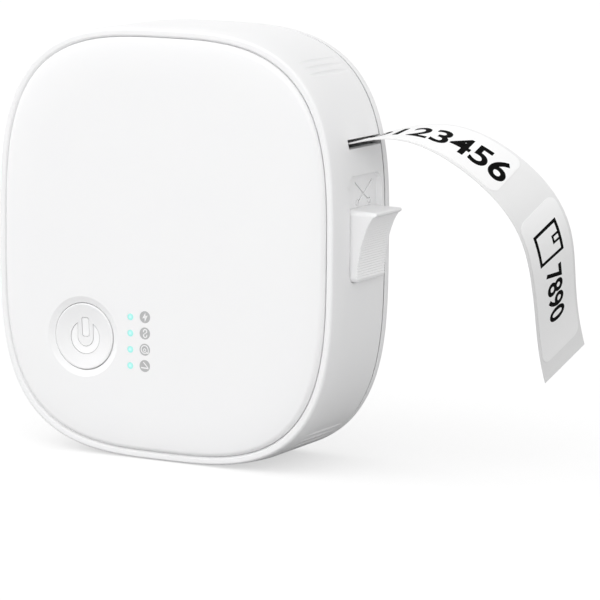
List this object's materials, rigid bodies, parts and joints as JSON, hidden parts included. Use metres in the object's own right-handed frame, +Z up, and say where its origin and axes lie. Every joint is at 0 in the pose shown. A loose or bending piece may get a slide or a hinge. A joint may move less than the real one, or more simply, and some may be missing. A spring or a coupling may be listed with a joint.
{
  "type": "thermal label printer",
  "caption": "Handheld thermal label printer: rounded square case, round power button, status lights, sliding cutter lever, hinged back cover and a printed label strip.",
  "frame": {"origin": "centre of the flat foot that the case stands on", "axes": "+Z up, +Y from the front panel to the back cover, +X towards the side with the label slot and the cutter lever"},
  "size_m": [0.127, 0.052, 0.0969],
  "materials": {
    "case_plastic": "fine satin moulded ABS",
    "front_plastic": "fine satin moulded ABS",
    "button_plastic": "satin moulded ABS",
    "lever_plastic": "satin moulded ABS with fine ribs",
    "inner_plastic": "plain moulded ABS",
    "black_plastic": "moulded",
    "gear_plastic": "acetal",
    "light_window": "diffusing clear plastic",
    "icon_ink": "printed grey discs",
    "steel": "plain",
    "brass": "turned",
    "heat_sink": "as extruded",
    "ceramic": "glazed",
    "rubber": "ground silicone rubber",
    "board": "solder mask",
    "foil": "laminated pouch foil",
    "cable": "polyimide ribbon",
    "cardboard": "wound",
    "liner_paper": "glazed backing paper",
    "label_paper": "coated thermal paper",
    "foam": "felt pad"
  },
  "bodies": {
    "case": {"mid_shell": "case_plastic", "front_panel": "front_plastic", "hinge_pin": "steel", "power_switch": "steel", "light_guide": "light_window", "status_icons": "icon_ink", "status_leds": "inner_plastic", "main_board": "board", "board_chips": "black_plastic", "usb_socket": "steel", "battery": "foil", "battery_lead": "black_plastic", "chassis": "inner_plastic", "stepper_motor": "steel", "motor_lead": "cable", "idler_pin": "steel", "gear_bracket": "steel", "platen_bushes": "gear_plastic", "head_pivot_pin": "steel", "head_cable": "cable", "cutter_anvil": "steel", "cutter_spring": "steel", "gap_sensor": "black_plastic", "label_web": "liner_paper", "web_labels": "label_paper", "cover_switch": "black_plastic", "case_screws": "steel", "board_screws": "steel", "motor_screws": "steel", "bracket_screws": "steel"},
    "cover": {"back_cover": "case_plastic", "cover_pad": "foam"},
    "button": {"power_button": "button_plastic", "switch_plunger": "inner_plastic"},
    "cutter": {"cutter_lever": "lever_plastic", "cutter_carriage": "inner_plastic", "cutter_blade": "steel", "blade_screws": "steel"},
    "platen": {"platen_shaft": "steel", "platen_rubber": "rubber", "platen_gear": "gear_plastic"},
    "idler": {"idler_gear": "gear_plastic"},
    "rotor": {"motor_shaft": "steel", "motor_pinion": "brass"},
    "roll": {"roll_hub": "inner_plastic", "roll_core": "cardboard", "label_roll": "label_paper"},
    "head": {"head_mount": "heat_sink", "print_head": "ceramic", "head_spring": "steel"},
    "strip": {"printed_strip": "liner_paper", "strip_labels": "label_paper"}
  },
  "joints": [
    {"name": "cover_hinge", "type": "hinge", "parent": "case", "child": "cover", "pos_m": [-0.0414, 0.0123, 0.0483], "axis": [0, 0, 1], "range_deg": [0, 110]},
    {"name": "button_press", "type": "slide", "parent": "case", "child": "button", "axis": [0, 1, 0], "range_m": [0, 0.0006], "stiffness_N_per_m": 2500},
    {"name": "cutter_slide", "type": "slide", "parent": "case", "child": "cutter", "axis": [0, 0, 1], "range_m": [0, 0.007], "stiffness_N_per_m": 300, "springref_m": -0.003, "deforming": ["cutter_spring"]},
    {"name": "platen_turn", "type": "hinge", "parent": "case", "child": "platen", "pos_m": [0.0309, 0, 0.06666], "axis": [0, 1, 0], "continuous": true},
    {"name": "roll_turn", "type": "hinge", "parent": "case", "child": "roll", "pos_m": [-0.00766, 0, 0.0405], "axis": [0, 1, 0], "continuous": true},
    {"name": "idler_turn", "type": "hinge", "parent": "case", "child": "idler", "pos_m": [0.02748, 0, 0.05512], "axis": [0, 1, 0], "continuous": true},
    {"name": "rotor_turn", "type": "hinge", "parent": "case", "child": "rotor", "pos_m": [0.02395, 0, 0.04319], "axis": [0, 1, 0], "continuous": true},
    {"name": "head_lift", "type": "hinge", "parent": "case", "child": "head", "pos_m": [0.01817, 0, 0.07155], "axis": [0, -1, 0], "range_deg": [0, 4], "stiffness_Nm_per_rad": 0.4, "springref_deg": -5.73},
    {"name": "strip_pull", "type": "slide", "parent": "case", "child": "strip", "axis": [1, 0, 0], "range_m": [0, 0.01]}
  ],
  "couplings": [
    {"joint": "platen_turn", "follows": "roll_turn", "ratio": 5.475},
    {"joint": "idler_turn", "follows": "roll_turn", "ratio": -10.95},
    {"joint": "rotor_turn", "follows": "roll_turn", "ratio": 45.625}
  ]
}
